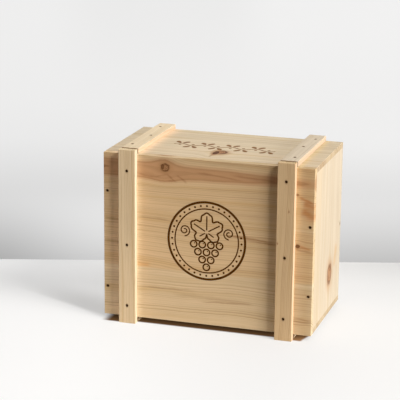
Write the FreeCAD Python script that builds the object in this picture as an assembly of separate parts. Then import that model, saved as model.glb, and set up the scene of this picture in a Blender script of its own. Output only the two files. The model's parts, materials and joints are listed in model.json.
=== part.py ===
import FreeCAD, Part
import os

# A wooden case for bottles that lie on their sides. It stands on one long side, as in a shop display,
# so its lid faces the front (-Y), its base panel faces the back (+Y) and its long side walls are above
# and below. X runs along the bottles. The origin is on the floor under the middle of the outer box.
# All sizes are in millimetres.

# The bottles that the case is sized for
BOTTLES_ACROSS = 3
BOTTLE_LAYERS = 2
BOTTLE_DIAMETER = 77.0
BOTTLE_LENGTH = 305.0
NECK_DIAMETER = 30.0
BOTTLE_SPACING = 8.6
LAYER_SPACING = 10.0
BOTTLE_END_ROOM = 10.5

# Board thicknesses
LID_THICKNESS = 12.0
WALL_THICKNESS = 9.0
END_THICKNESS = 12.0
BACK_THICKNESS = 10.0

# How the boards of each panel share its width. The last board takes what is left.
LID_BOARD_SHARES = (0.317, 0.349)
WALL_BOARD_SHARES = (0.335, 0.330)
END_BOARD_SHARES = (0.207, 0.540)
BACK_BOARD_SHARES = (0.315, 0.358)

# Battens
BATTEN_WIDTH = 28.5
BATTEN_CENTRE_FROM_END = 43.25
LID_BATTEN_THICKNESS = 11.0
SIDE_BATTEN_THICKNESS = 8.5
BATTEN_SLOT = 6.0

# Joints between the boards
TONGUE_THICKNESS = 5.0
TONGUE_HEIGHT = 4.0
HOUSING_DEPTH = 3.0
GLUE_GAP = 0.2
LID_CLEARANCE = 0.3
ARRIS_RADIUS = 0.5
BATTEN_ARRIS_RADIUS = 0.7
CUT_OVERRUN = 2.0

# Bottle cradles
CRADLE_THICKNESS = 8.0
CRADLE_CLEARANCE = 0.5
HOUSING_CLEARANCE = 0.1
BODY_CRADLE_FROM_END = 74.0
NECK_CRADLE_FROM_END = 64.0

# Nails
NAIL_HEAD_DIAMETER = 4.6
NAIL_HEAD_THICKNESS = 0.7
NAIL_CROWN = 0.3
NAIL_CROWN_INSET = 0.7
NAIL_SHANK_DIAMETER = 1.9
NAIL_TIP = 3.0
NAIL_SET = 0.4
NAIL_COVER = 2.5
NAIL_CLEARANCE = 0.1
LID_NAIL_LENGTH = 34.0
BACK_NAIL_LENGTH = 30.0

# Where the nails stand, as shares of the board that each one holds. One nail goes through a batten
# into each board of its panel, a little off the middle where the hand put it, and the wall battens'
# nails are also staggered across the batten, as shares of its width. Two nails at each side go through
# the lid into the end's edge.
LEFT_LID_BATTEN_NAIL_SHARES = (0.25, 0.395, 0.715)
RIGHT_LID_BATTEN_NAIL_SHARES = (0.32, 0.44, 0.765)
LEFT_WALL_BATTEN_NAIL_SHARES = (0.345, 0.465, 0.57)
RIGHT_WALL_BATTEN_NAIL_SHARES = (0.315, 0.56, 0.51)
LEFT_WALL_BATTEN_ACROSS_SHARES = (0.29, 0.565, 0.335)
RIGHT_WALL_BATTEN_ACROSS_SHARES = (0.58, 0.40, 0.61)
LEFT_LID_NAIL_BOARDS = ("lower", "upper")
LEFT_LID_NAIL_SHARES = (0.56, 0.30)
RIGHT_LID_NAIL_BOARDS = ("lower", "middle")
RIGHT_LID_NAIL_SHARES = (0.755, 0.97)

# The case outside and inside, worked out from the bottles and the boards
bottle_pitch = BOTTLE_DIAMETER + BOTTLE_SPACING
layer_pitch = BOTTLE_DIAMETER + LAYER_SPACING
inner_length = BOTTLE_LENGTH + 2 * BOTTLE_END_ROOM
inner_height = BOTTLES_ACROSS * bottle_pitch
inner_depth = BOTTLE_LAYERS * layer_pitch
case_length = inner_length + 2 * END_THICKNESS
case_height = inner_height + 2 * WALL_THICKNESS
case_depth = LID_THICKNESS + inner_depth + BACK_THICKNESS

x_left, x_right = -case_length / 2, case_length / 2
x_in_left, x_in_right = x_left + END_THICKNESS, x_right - END_THICKNESS
z_low, z_high = SIDE_BATTEN_THICKNESS, SIDE_BATTEN_THICKNESS + case_height
z_in_low, z_in_high = z_low + WALL_THICKNESS, z_high - WALL_THICKNESS
z_top = z_high + SIDE_BATTEN_THICKNESS
y_front = -(LID_BATTEN_THICKNESS + case_depth) / 2
y_lid = y_front + LID_BATTEN_THICKNESS
y_rim = y_lid + LID_THICKNESS
y_back = y_lid + case_depth
y_in_back = y_back - BACK_THICKNESS

SIDES = ("left", "right")
batten_centre = {"left": x_left + BATTEN_CENTRE_FROM_END, "right": x_right - BATTEN_CENTRE_FROM_END}
batten_x = {side: (x - BATTEN_WIDTH / 2, x + BATTEN_WIDTH / 2) for side, x in batten_centre.items()}
end_x = {"left": (x_left, x_in_left), "right": (x_in_right, x_right)}

FORWARD = FreeCAD.Vector(0, -1, 0)
BACKWARD = FreeCAD.Vector(0, 1, 0)
UP = FreeCAD.Vector(0, 0, 1)
DOWN = FreeCAD.Vector(0, 0, -1)
RIGHTWARD = FreeCAD.Vector(1, 0, 0)
LEFTWARD = FreeCAD.Vector(-1, 0, 0)


# Basic shapes

def middle(span):
    return (span[0] + span[1]) / 2


def within(span, share):
    """The place at that share of the way along a span."""
    return span[0] + share * (span[1] - span[0])


def block(x, y, z):
    """A square block between three (low, high) pairs."""
    low = FreeCAD.Vector(x[0], y[0], z[0])
    return Part.makeBox(x[1] - x[0], y[1] - y[0], z[1] - z[0], low)


def eased_block(x, y, z, radius):
    """A block with its arrises taken off."""
    shape = block(x, y, z)
    return shape.makeFillet(radius, shape.Edges)


def spans(names, low, high, shares):
    """Neighbouring (low, high) pairs by name, each with its share, and the last with what is left."""
    places = [low]
    for share in shares:
        places.append(places[-1] + share * (high - low))
    places.append(high)
    return dict(zip(names, zip(places[:-1], places[1:])))


def boards(panel, axis, named_spans):
    """Cuts a panel across one axis into its glued boards, by name."""
    box = panel.BoundBox
    reach = {
        "x": (box.XMin - CUT_OVERRUN, box.XMax + CUT_OVERRUN),
        "y": (box.YMin - CUT_OVERRUN, box.YMax + CUT_OVERRUN),
        "z": (box.ZMin - CUT_OVERRUN, box.ZMax + CUT_OVERRUN),
    }
    made = {}
    last = len(named_spans) - 1
    for index, (name, span) in enumerate(named_spans.items()):
        low = reach[axis][0] if index == 0 else span[0]
        high = reach[axis][1] if index == last else span[1]
        slab = dict(reach)
        slab[axis] = (low, high)
        made[name] = panel.common(block(slab["x"], slab["y"], slab["z"]))
    return made


# Nails: each is driven from a point on a face, in a direction, to a length

def nail(point, direction, length):
    """A wire nail with a crowned flat head, set a little below the face."""
    seat = point + direction * NAIL_SET
    head_radius = NAIL_HEAD_DIAMETER / 2
    shank_radius = NAIL_SHANK_DIAMETER / 2
    crown = Part.makeCone(head_radius - NAIL_CROWN_INSET, head_radius, NAIL_CROWN, seat, direction)
    below_crown = seat + direction * NAIL_CROWN
    head = Part.makeCylinder(head_radius, NAIL_HEAD_THICKNESS, below_crown, direction)
    shank = Part.makeCylinder(shank_radius, length - NAIL_TIP, below_crown, direction)
    tip_start = below_crown + direction * (length - NAIL_TIP)
    tip = Part.makeCone(shank_radius, 0, NAIL_TIP, tip_start, direction)
    return crown.fuse([head, shank, tip]).removeSplitter()


def nail_hole(point, direction, length):
    """The hole that such a nail stands in: a recess that its head sits on, and the shank's bore."""
    start = point - direction * CUT_OVERRUN
    head_depth = NAIL_SET + NAIL_CROWN + NAIL_HEAD_THICKNESS
    bore_depth = NAIL_SET + NAIL_CROWN + length
    recess = Part.makeCylinder(
        NAIL_HEAD_DIAMETER / 2 + NAIL_CLEARANCE, CUT_OVERRUN + head_depth, start, direction)
    bore = Part.makeCylinder(
        NAIL_SHANK_DIAMETER / 2 + NAIL_CLEARANCE, CUT_OVERRUN + bore_depth + NAIL_CLEARANCE, start, direction)
    return recess.fuse(bore)


def nails_of(places):
    return Part.makeCompound([nail(*place) for place in places])


def drilled(shape, places):
    """The shape with the nails' holes cut where they reach it."""
    for place in places:
        hole = nail_hole(*place)
        if shape.BoundBox.intersect(hole.BoundBox):
            shape = shape.cut(hole)
    return shape


# Where each group of nails stands

lid_spans = spans(("lower", "middle", "upper"), z_low, z_high, LID_BOARD_SHARES)
wall_spans = spans(("front", "middle", "rear"), y_rim, y_back, WALL_BOARD_SHARES)
end_spans = spans(("front", "middle", "rear"), y_rim, y_back, END_BOARD_SHARES)
back_spans = spans(("lower", "middle", "upper"), z_in_low, z_in_high, BACK_BOARD_SHARES)

lid_batten_nail_length = LID_BATTEN_THICKNESS + LID_THICKNESS - NAIL_SET - NAIL_CROWN - NAIL_COVER
wall_batten_nail_length = SIDE_BATTEN_THICKNESS + WALL_THICKNESS - NAIL_SET - NAIL_CROWN - NAIL_COVER


def lid_batten_nail_places():
    found = []
    shares = {"left": LEFT_LID_BATTEN_NAIL_SHARES, "right": RIGHT_LID_BATTEN_NAIL_SHARES}
    for side in SIDES:
        for span, share in zip(lid_spans.values(), shares[side]):
            point = FreeCAD.Vector(batten_centre[side], y_front, within(span, share))
            found.append((point, BACKWARD, lid_batten_nail_length))
    return found


def lid_nail_places():
    found = []
    held = {
        "left": zip(LEFT_LID_NAIL_BOARDS, LEFT_LID_NAIL_SHARES),
        "right": zip(RIGHT_LID_NAIL_BOARDS, RIGHT_LID_NAIL_SHARES),
    }
    for side in SIDES:
        for board, share in held[side]:
            point = FreeCAD.Vector(middle(end_x[side]), y_lid, within(lid_spans[board], share))
            found.append((point, BACKWARD, LID_NAIL_LENGTH))
    return found


def wall_batten_nail_places(face_z, direction):
    found = []
    shares = {
        "left": zip(LEFT_WALL_BATTEN_NAIL_SHARES, LEFT_WALL_BATTEN_ACROSS_SHARES),
        "right": zip(RIGHT_WALL_BATTEN_NAIL_SHARES, RIGHT_WALL_BATTEN_ACROSS_SHARES),
    }
    for side in SIDES:
        for span, (along, across) in zip(wall_spans.values(), shares[side]):
            point = FreeCAD.Vector(within(batten_x[side], across), within(span, along), face_z)
            found.append((point, direction, wall_batten_nail_length))
    return found


def back_nail_places():
    y = (y_in_back + y_back) / 2
    z = middle(back_spans["middle"])
    return [
        (FreeCAD.Vector(x_left, y, z), RIGHTWARD, BACK_NAIL_LENGTH),
        (FreeCAD.Vector(x_right, y, z), LEFTWARD, BACK_NAIL_LENGTH),
    ]


lid_batten_nails = lid_batten_nail_places()
lid_nails = lid_nail_places()
upper_batten_nails = wall_batten_nail_places(z_top, DOWN)
lower_batten_nails = wall_batten_nail_places(0, UP)
back_nails = back_nail_places()


# The lid: three boards held together by two battens that reach past them, down to the floor

def lid_parts():
    panel = eased_block(
        (x_left, x_right), (y_lid, y_rim), (z_low + LID_CLEARANCE, z_high - LID_CLEARANCE), ARRIS_RADIUS)
    made = {}
    for name, shape in boards(panel, "z", lid_spans).items():
        made[f"lid_{name}_board"] = drilled(shape, lid_batten_nails + lid_nails)
    for side in SIDES:
        batten = eased_block(batten_x[side], (y_front, y_lid), (0, z_top), BATTEN_ARRIS_RADIUS)
        made[f"lid_{side}_batten"] = drilled(batten, lid_batten_nails)
    made["lid_batten_nails"] = nails_of(lid_batten_nails)
    made["lid_fixing_nails"] = nails_of(lid_nails)
    return made


# The long side walls, grooved for the ends' tongues and housed for the cradles

tongue_x = {
    "left": (x_in_left - TONGUE_THICKNESS, x_in_left),
    "right": (x_in_right, x_in_right + TONGUE_THICKNESS),
}
cradle_x = {
    "body": x_in_left + BODY_CRADLE_FROM_END,
    "neck": x_in_right - NECK_CRADLE_FROM_END,
}


def wall_parts(position, z, inner_z, inward, batten_nails):
    """One long wall's boards. inward is +1 or -1, the way from the wall to the case's inside."""
    panel = eased_block((x_left, x_right), (y_rim, y_back), z, ARRIS_RADIUS)
    groove_floor = inner_z - inward * (TONGUE_HEIGHT + GLUE_GAP)
    housing_floor = inner_z - inward * HOUSING_DEPTH
    mouth = inner_z + inward * CUT_OVERRUN
    for side in SIDES:
        groove_z = sorted((groove_floor, mouth))
        panel = panel.cut(block(tongue_x[side], (y_rim - CUT_OVERRUN, y_back + CUT_OVERRUN), groove_z))
    for x in cradle_x.values():
        half_width = CRADLE_THICKNESS / 2 + HOUSING_CLEARANCE
        housing_z = sorted((housing_floor, mouth))
        panel = panel.cut(block((x - half_width, x + half_width), (y_rim - CUT_OVERRUN, y_in_back), housing_z))
    made = {}
    for name, shape in boards(panel, "y", wall_spans).items():
        made[f"{position}_wall_{name}_board"] = drilled(shape, batten_nails)
    return made


# The ends, whose boards stand upright with a tongue into each wall

def end_parts(side):
    panel = eased_block(end_x[side], (y_rim, y_back), (z_in_low, z_in_high), ARRIS_RADIUS)
    tongue_z = (z_in_low - TONGUE_HEIGHT, z_in_high + TONGUE_HEIGHT)
    tongue = block(tongue_x[side], (y_rim + ARRIS_RADIUS, y_back - ARRIS_RADIUS), tongue_z)
    panel = panel.fuse(tongue).removeSplitter()
    made = {}
    for name, shape in boards(panel, "y", end_spans).items():
        made[f"{side}_end_{name}_board"] = drilled(shape, lid_nails + back_nails)
    return made


# The back panel, which is the case's base when it lies flat, set in between the walls and the ends

def back_parts():
    panel = eased_block(
        (x_in_left, x_in_right), (y_in_back, y_back), (z_in_low, z_in_high), ARRIS_RADIUS)
    made = {}
    for name, shape in boards(panel, "z", back_spans).items():
        made[f"back_{name}_board"] = drilled(shape, back_nails)
    return made


# The battens on the long walls, short of the lid's battens by a slot

def wall_batten_parts():
    made = {}
    y = (y_lid + BATTEN_SLOT, y_back)
    for side in SIDES:
        upper = eased_block(batten_x[side], y, (z_high, z_top), BATTEN_ARRIS_RADIUS)
        lower = eased_block(batten_x[side], y, (0, z_low), BATTEN_ARRIS_RADIUS)
        made[f"upper_{side}_batten"] = drilled(upper, upper_batten_nails)
        made[f"lower_{side}_batten"] = drilled(lower, lower_batten_nails)
    made["upper_batten_nails"] = nails_of(upper_batten_nails)
    made["lower_batten_nails"] = nails_of(lower_batten_nails)
    made["back_panel_nails"] = nails_of(back_nails)
    return made


# The cradles: bars across the bottles, scalloped at every bottle, stacked layer on layer

def scallops(x, radius):
    """One cylinder along X for each bottle."""
    length = CRADLE_THICKNESS + 2 * CUT_OVERRUN
    made = []
    for layer in range(BOTTLE_LAYERS):
        y = y_in_back - layer_pitch / 2 - layer * layer_pitch
        for place in range(BOTTLES_ACROSS):
            z = z_in_low + bottle_pitch / 2 + place * bottle_pitch
            start = FreeCAD.Vector(x - length / 2, y, z)
            made.append(Part.makeCylinder(radius, length, start, RIGHTWARD))
    return made


def cradle_parts():
    made = {}
    radii = {
        "body": BOTTLE_DIAMETER / 2 + CRADLE_CLEARANCE,
        "neck": NECK_DIAMETER / 2 + CRADLE_CLEARANCE,
    }
    reach = HOUSING_DEPTH - GLUE_GAP
    z = (z_in_low - reach, z_in_high + reach)
    first_layer = y_in_back - layer_pitch / 2
    second_layer = first_layer - layer_pitch
    for kind, radius in radii.items():
        x = (cradle_x[kind] - CRADLE_THICKNESS / 2, cradle_x[kind] + CRADLE_THICKNESS / 2)
        cuts = scallops(cradle_x[kind], radius)
        made[f"back_{kind}_cradle"] = block(x, (first_layer, y_in_back), z).cut(cuts)
        made[f"middle_{kind}_cradle"] = block(x, (second_layer, first_layer), z).cut(cuts)
    return made


def all_parts():
    made = lid_parts()
    made.update(wall_parts("upper", (z_in_high, z_high), z_in_high, -1, upper_batten_nails))
    made.update(wall_parts("lower", (z_low, z_in_low), z_in_low, 1, lower_batten_nails))
    for side in SIDES:
        made.update(end_parts(side))
    made.update(back_parts())
    made.update(wall_batten_parts())
    made.update(cradle_parts())
    return made


os.makedirs("parts", exist_ok=True)
for node, shape in all_parts().items():
    shape.exportStep(os.path.join("parts", node + ".step"))
    print(f"{node}: {len(shape.Solids)} solid(s), {shape.Volume:.0f} cubic mm, valid {shape.isValid()}")
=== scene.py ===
import json
import math
import random
from dataclasses import dataclass

import bmesh
import bpy
from mathutils import Matrix, Vector

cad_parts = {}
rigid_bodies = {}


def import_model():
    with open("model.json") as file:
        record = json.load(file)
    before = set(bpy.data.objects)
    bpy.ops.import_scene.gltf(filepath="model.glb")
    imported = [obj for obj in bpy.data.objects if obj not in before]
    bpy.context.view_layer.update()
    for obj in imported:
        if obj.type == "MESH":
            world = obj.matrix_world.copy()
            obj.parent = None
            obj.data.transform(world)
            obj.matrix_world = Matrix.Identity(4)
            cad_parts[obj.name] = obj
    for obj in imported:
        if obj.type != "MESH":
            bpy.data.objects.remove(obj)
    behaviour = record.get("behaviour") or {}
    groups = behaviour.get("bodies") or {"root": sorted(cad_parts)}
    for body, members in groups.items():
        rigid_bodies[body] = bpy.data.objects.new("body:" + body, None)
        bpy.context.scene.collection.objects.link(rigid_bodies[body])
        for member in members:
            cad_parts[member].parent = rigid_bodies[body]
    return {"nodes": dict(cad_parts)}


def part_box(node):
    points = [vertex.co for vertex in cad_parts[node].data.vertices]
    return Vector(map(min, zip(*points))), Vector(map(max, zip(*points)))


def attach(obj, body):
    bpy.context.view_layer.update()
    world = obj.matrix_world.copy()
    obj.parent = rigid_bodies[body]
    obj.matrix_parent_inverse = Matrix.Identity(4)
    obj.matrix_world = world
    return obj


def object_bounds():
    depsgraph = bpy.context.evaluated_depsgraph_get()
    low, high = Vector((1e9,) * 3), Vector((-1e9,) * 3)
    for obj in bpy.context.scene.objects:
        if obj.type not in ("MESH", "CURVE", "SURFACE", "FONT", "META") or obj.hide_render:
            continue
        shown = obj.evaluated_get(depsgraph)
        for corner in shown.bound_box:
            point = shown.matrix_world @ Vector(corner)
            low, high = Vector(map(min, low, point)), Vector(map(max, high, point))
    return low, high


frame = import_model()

# Looks for a pine case that stands on its long side, with its lid to the front. Lengths on the object are
# millimetres in the model's own frame, and MM turns them into Blender's metres. The camera, the stage and
# the lamps are in metres.
MM = 0.001
nodes = frame["nodes"]
cad_low, cad_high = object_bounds()


def put_in_scene(name, data):
    made = bpy.data.objects.new(name, data)
    bpy.context.scene.collection.objects.link(made)
    return made


def mesh_object(name, points, faces, material):
    mesh = bpy.data.meshes.new(name)
    mesh.from_pydata(points, [], faces)
    mesh.materials.append(material)
    return put_in_scene(name, mesh)


# Node trees, written as sums

NOISE_MEAN = 0.5

# Which of the mix node's sockets are for colours
MIX_FACTOR, MIX_FIRST, MIX_SECOND, MIX_RESULT = 0, 6, 7, 2


def math_node(operation):
    """A method that makes one math node."""
    def method(wire, *others):
        return wire.math(operation, *others)
    return method


class Wire:
    """A number that varies over a surface. Sums of wires and plain numbers make the math nodes."""

    def __init__(self, tree, socket):
        self.tree = tree
        self.socket = socket

    def math(self, operation, *others, clamp=False):
        node = add(self.tree, "ShaderNodeMath", operation=operation, use_clamp=clamp)
        feed_all(self.tree, node, self, *others)
        return Wire(self.tree, node.outputs[0])

    __add__ = __radd__ = math_node("ADD")
    __mul__ = __rmul__ = math_node("MULTIPLY")
    __sub__ = math_node("SUBTRACT")
    __truediv__ = math_node("DIVIDE")
    fract = math_node("FRACT")
    floor = math_node("FLOOR")
    root = math_node("SQRT")
    size = math_node("ABSOLUTE")
    power = math_node("POWER")
    sine = math_node("SINE")

    def __neg__(self):
        return self * -1.0

    def __rsub__(self, other):
        return -self + other

    def clamped(self):
        return self.math("ADD", 0.0, clamp=True)

    def bell(self):
        """1 where the wire is 0, falling away smoothly on both sides."""
        return (-(self * self)).math("EXPONENT")

    def rise(self, low, high):
        """A smooth step from 0 at low to 1 at high."""
        node = add(self.tree, "ShaderNodeMapRange", interpolation_type="SMOOTHSTEP")
        feed_all(self.tree, node, self, low, high, 0.0, 1.0)
        return Wire(self.tree, node.outputs[0])


def add(tree, kind, **settings):
    node = tree.nodes.new(kind)
    for name, value in settings.items():
        setattr(node, name, value)
    return node


def feed(tree, socket, value):
    """Links a wire or socket, or sets a plain value."""
    if isinstance(value, Wire):
        value = value.socket
    if isinstance(value, bpy.types.NodeSocket):
        tree.links.new(value, socket)
    else:
        socket.default_value = value


def feed_all(tree, node, *values):
    """Feeds a node's inputs in their order."""
    for socket, value in zip(node.inputs, values):
        feed(tree, socket, value)


def feed_named(tree, node, values):
    """Feeds a node's inputs by their names."""
    for name, value in values.items():
        feed(tree, node.inputs[name], value)


def noise(tree, x, y, z, detail=2.0, roughness=0.5):
    """Smooth noise about 0, from -0.5 to 0.5, with features about one unit across."""
    point = add(tree, "ShaderNodeCombineXYZ")
    feed_all(tree, point, x, y, z)
    node = add(tree, "ShaderNodeTexNoise", noise_dimensions="3D")
    settings = {"Vector": point.outputs[0], "Scale": 1.0, "Detail": detail, "Roughness": roughness}
    feed_named(tree, node, settings)
    return Wire(tree, node.outputs[0]) - NOISE_MEAN


def random_per(tree, number):
    """A random number from 0 to 1 for each whole number."""
    node = add(tree, "ShaderNodeTexWhiteNoise", noise_dimensions="1D")
    feed(tree, node.inputs["W"], number)
    return Wire(tree, node.outputs["Value"])


def blend(tree, factor, first, second, kind="MIX"):
    """A colour between two or, with MULTIPLY, between the first and the first tinted by the second."""
    node = add(tree, "ShaderNodeMix", data_type="RGBA", blend_type=kind, clamp_factor=True)
    feed(tree, node.inputs[MIX_FACTOR], factor)
    feed(tree, node.inputs[MIX_FIRST], first)
    feed(tree, node.inputs[MIX_SECOND], second)
    return node.outputs[MIX_RESULT]


def scaled(tree, colour, brightness):
    """A colour made brighter or darker by a wire."""
    node = add(tree, "ShaderNodeVectorMath", operation="SCALE")
    feed(tree, node.inputs[0], colour)
    feed(tree, node.inputs["Scale"], brightness)
    return node.outputs[0]


def rgba(colour):
    return (*colour, 1.0)


def new_material(name):
    """A material, its tree and its shader."""
    material = bpy.data.materials.new(name)
    material.use_nodes = True
    tree = material.node_tree
    return material, tree, tree.nodes["Principled BSDF"]


def parts_of(tree, kind):
    """The three parts of a surface's place, which is Object, or of the way it faces, which is Normal."""
    coordinates = add(tree, "ShaderNodeTexCoord")
    parts = add(tree, "ShaderNodeSeparateXYZ")
    tree.links.new(coordinates.outputs[kind], parts.inputs[0])
    return [Wire(tree, socket) for socket in parts.outputs]


def place_of(tree):
    """A surface's place in millimetres."""
    return [wire * (1 / MM) for wire in parts_of(tree, "Object")]


def finished(tree, shader, colour, roughness, height, shine, relief):
    """Feeds a shader. The height is in millimetres, and relief is the share of it that shows."""
    bump = add(tree, "ShaderNodeBump")
    feed_named(tree, bump, {"Strength": relief, "Distance": MM, "Height": height})
    feed_named(tree, shader, {
        "Base Color": colour, "Roughness": roughness, "Specular IOR Level": shine,
        "Normal": bump.outputs[0]})


# Pine: rings round a log's heart, so that faces, edges and end grain all agree

PINE_NUMBERS = (
    "Along", "Across", "Through", "End", "Edge", "Bend", "Seed", "Heart across", "Heart through", "Slope",
    "Taper", "Ring", "Heartwood", "Contrast", "Sawn", "Fade", "Sway")
PINE_COLOURS = ("Early", "Late", "Red early", "Red late", "Edge tint", "End tint")

# How far the grain wanders, over what length along it and what width across it
SWAY_LENGTH, SWAY, SWAY_ROWS = 190.0, 7.0, (0.5, 7.5)
WOBBLE_LENGTH, WOBBLE_WIDTH, WOBBLE = 85.0, 14.0, 2.0
CURL_LENGTH, CURL_WIDTH, CURL = 24.0, 4.5, 0.7
DRIFT_WIDTH, DRIFT, DRIFT_ROW = 10.0, 2.2, 3.5

# The late line of a ring: where in the year it comes and goes, and how its strength varies
LATE_RISE, LATE_FALL = (0.25, 0.90), (0.91, 1.0)
LATE_POWER, LATE_RANGE, LATE_LEAST = 1.7, 0.85, 0.13

# The length and width of the finer marks, and how much each tells in the colour, the gloss and the relief
BAND_LENGTH, BAND_WIDTH = 420.0, 7.0
FIBRE_LENGTH, FIBRE_WIDTH = 30.0, 0.5
FLECK_LENGTH, FLECK_WIDTH, FLECK_RISE = 6.0, 0.32, (0.20, 0.30)
BLOTCH_LENGTH, BLOTCH_WIDTH = 85.0, 24.0
HEART_EDGE, HEART_BLOTCH, HEART_FIBRE, HEART_BAND = 3.6, 5.0, 2.0, 7.0
AMBER, AMBER_RISE, AMBER_SHARE = (1.0, 0.93, 0.80), (-0.05, 0.30), 0.9
TONE_FIBRE, TONE_BLOTCH, TONE_BAND, TONE_FLECK, TONE_END = 0.20, 0.16, 0.26, 0.08, 0.3
ROUGH, ROUGH_LATE, ROUGH_FIBRE, ROUGH_END = 0.56, 0.08, 0.16, 0.2
RELIEF_LATE, RELIEF_FIBRE, RELIEF_FLECK = 0.035, 0.05, 0.03
RIPPLE_PITCH, RIPPLE = 4.3, 0.003
KERF_PITCH, KERF, KERF_WANDER = 2.1, 0.05, 9.0


def pine_sockets(tree):
    """Names what the group takes and what it gives."""
    for name in PINE_NUMBERS:
        tree.interface.new_socket(name, in_out="INPUT", socket_type="NodeSocketFloat")
    for name in PINE_COLOURS:
        tree.interface.new_socket(name, in_out="INPUT", socket_type="NodeSocketColor")
    tree.interface.new_socket("Colour", in_out="OUTPUT", socket_type="NodeSocketColor")
    for name in ("Roughness", "Height"):
        tree.interface.new_socket(name, in_out="OUTPUT", socket_type="NodeSocketFloat")


def drawn_out(tree, place, length, width, shift, **settings):
    """Noise that is drawn out along the grain."""
    along, across, through = place
    return noise(tree, along / length, across / width, through / width + shift, **settings)


def log_radius(tree, wire, place):
    """Distance from the log's heart, which wanders along the grain."""
    along, across, through = place
    seed = wire["Seed"]
    sway, sway_through = (
        noise(tree, along / SWAY_LENGTH, seed, row, detail=1.0) * wire["Sway"] * (2 * SWAY)
        for row in SWAY_ROWS)
    wobble = drawn_out(tree, place, WOBBLE_LENGTH, WOBBLE_WIDTH, seed) * WOBBLE
    curl = drawn_out(tree, place, CURL_LENGTH, CURL_WIDTH, -seed, detail=1.0) * CURL
    from_across = across - wire["Heart across"] - wire["Slope"] * along + sway
    from_through = through - wire["Heart through"] + sway_through
    radius = (from_across * from_across + from_through * from_through).root()
    return radius + wire["Taper"] * along + wobble + curl


def late_wood(tree, wire, radius):
    """Yearly rings: pale early wood that darkens into a thin late line, strong in few years."""
    seed = wire["Seed"]
    drift = noise(tree, radius / DRIFT_WIDTH, seed, DRIFT_ROW, detail=1.0) * DRIFT
    ring = radius / wire["Ring"] + drift
    phase = ring.fract()
    strength = random_per(tree, ring.floor() + seed).power(LATE_POWER) * LATE_RANGE + LATE_LEAST
    return phase.rise(*LATE_RISE) * (1.0 - phase.rise(*LATE_FALL)) * strength * wire["Contrast"]


def pine_group():
    """The nodes that all wooden pieces share."""
    tree = bpy.data.node_groups.new("pine", "ShaderNodeTree")
    pine_sockets(tree)
    given = add(tree, "NodeGroupInput").outputs
    wire = {name: Wire(tree, given[name]) for name in PINE_NUMBERS}
    along, through, seed, end = (wire[name] for name in ("Along", "Through", "Seed", "End"))
    across = wire["Across"] + wire["Bend"]
    place = (along, across, through)
    radius = log_radius(tree, wire, place)
    late = late_wood(tree, wire, radius)

    # Broad bands that follow the rings, fibres, short resin flecks and cloudy patches
    band = noise(tree, along / BAND_LENGTH, radius / BAND_WIDTH, seed)
    fibre = drawn_out(tree, place, FIBRE_LENGTH, FIBRE_WIDTH, seed, detail=3.0, roughness=0.6)
    fleck = noise(
        tree, along / FLECK_LENGTH + seed, across / FLECK_WIDTH, through / FLECK_WIDTH, detail=0.0)
    fleck = fleck.rise(*FLECK_RISE)
    blotch = drawn_out(tree, place, BLOTCH_LENGTH, BLOTCH_WIDTH, seed)

    ragged = blotch * HEART_BLOTCH + fibre * HEART_FIBRE + band * HEART_BAND
    red = (wire["Heartwood"] - radius + ragged).rise(-HEART_EDGE, HEART_EDGE)
    sap = blend(tree, late, given["Early"], given["Late"])
    core = blend(tree, late, given["Red early"], given["Red late"])
    colour = blend(tree, red, sap, core)
    colour = blend(tree, band.rise(*AMBER_RISE) * AMBER_SHARE, colour, rgba(AMBER), "MULTIPLY")
    tone = 1.0 + fibre * TONE_FIBRE + blotch * TONE_BLOTCH - band * TONE_BAND - fleck * TONE_FLECK
    # The fade along the grain is painted light and shade: it makes a board lighter towards one end.
    tone = tone * (1.0 - end * late * TONE_END) * (1.0 - along * wire["Fade"])
    colour = scaled(tree, colour, tone)
    for face, tint in ((end, "End tint"), (wire["Edge"], "Edge tint")):
        colour = blend(tree, face, colour, given[tint], "MULTIPLY")

    roughness = ROUGH - late * ROUGH_LATE + fibre * ROUGH_FIBRE + end * ROUGH_END
    ripple = (along * (2 * math.pi / RIPPLE_PITCH)).sine() * RIPPLE
    kerf = (along * (2 * math.pi / KERF_PITCH) + blotch * KERF_WANDER).sine() * wire["Sawn"] * KERF
    height = late * RELIEF_LATE + fibre * RELIEF_FIBRE - fleck * RELIEF_FLECK + ripple + kerf
    feed_all(tree, add(tree, "NodeGroupOutput"), colour, roughness.clamped(), height)
    return tree


PINE = pine_group()


# Knots and streaks. Spans and places inside a knot are in its half sizes.

KNOT_REACH, KNOT_RAG, KNOT_RAG_SCALE = 3.2, 0.6, 1.4
KNOT_HALO, KNOT_HALO_SPAN, KNOT_HALO_SHARE = (0.40, 0.205, 0.09), (0.8, 2.6), 0.5
KNOT_PALE, KNOT_DARK = (0.40, 0.205, 0.095), (0.150, 0.064, 0.025)
KNOT_RINGS, KNOT_RINGS_SHARE = 17.0, 0.75
KNOT_EDGE_SPAN, KNOT_HEART_SHARE = (0.80, 1.02), 0.85
KNOT_RIM, KNOT_RIM_PLACE, KNOT_RIM_HALF, KNOT_RIM_SHARE = (0.085, 0.027, 0.009), 0.93, 0.22, 0.65
STREAK_COLOUR, STREAK_RED, STREAK_AMBER = (0.60, 0.48, 0.40), (0.82, 0.58, 0.44), (0.98, 0.82, 0.66)
STREAK_RAG, STREAK_RAG_LENGTH, STREAK_RAG_WIDTH = 2.5, 18.0, 5.0
STREAK_START_SHARES, STREAK_STOP_SHARES = (-0.08, 0.22), (0.75, 1.08)


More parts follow.
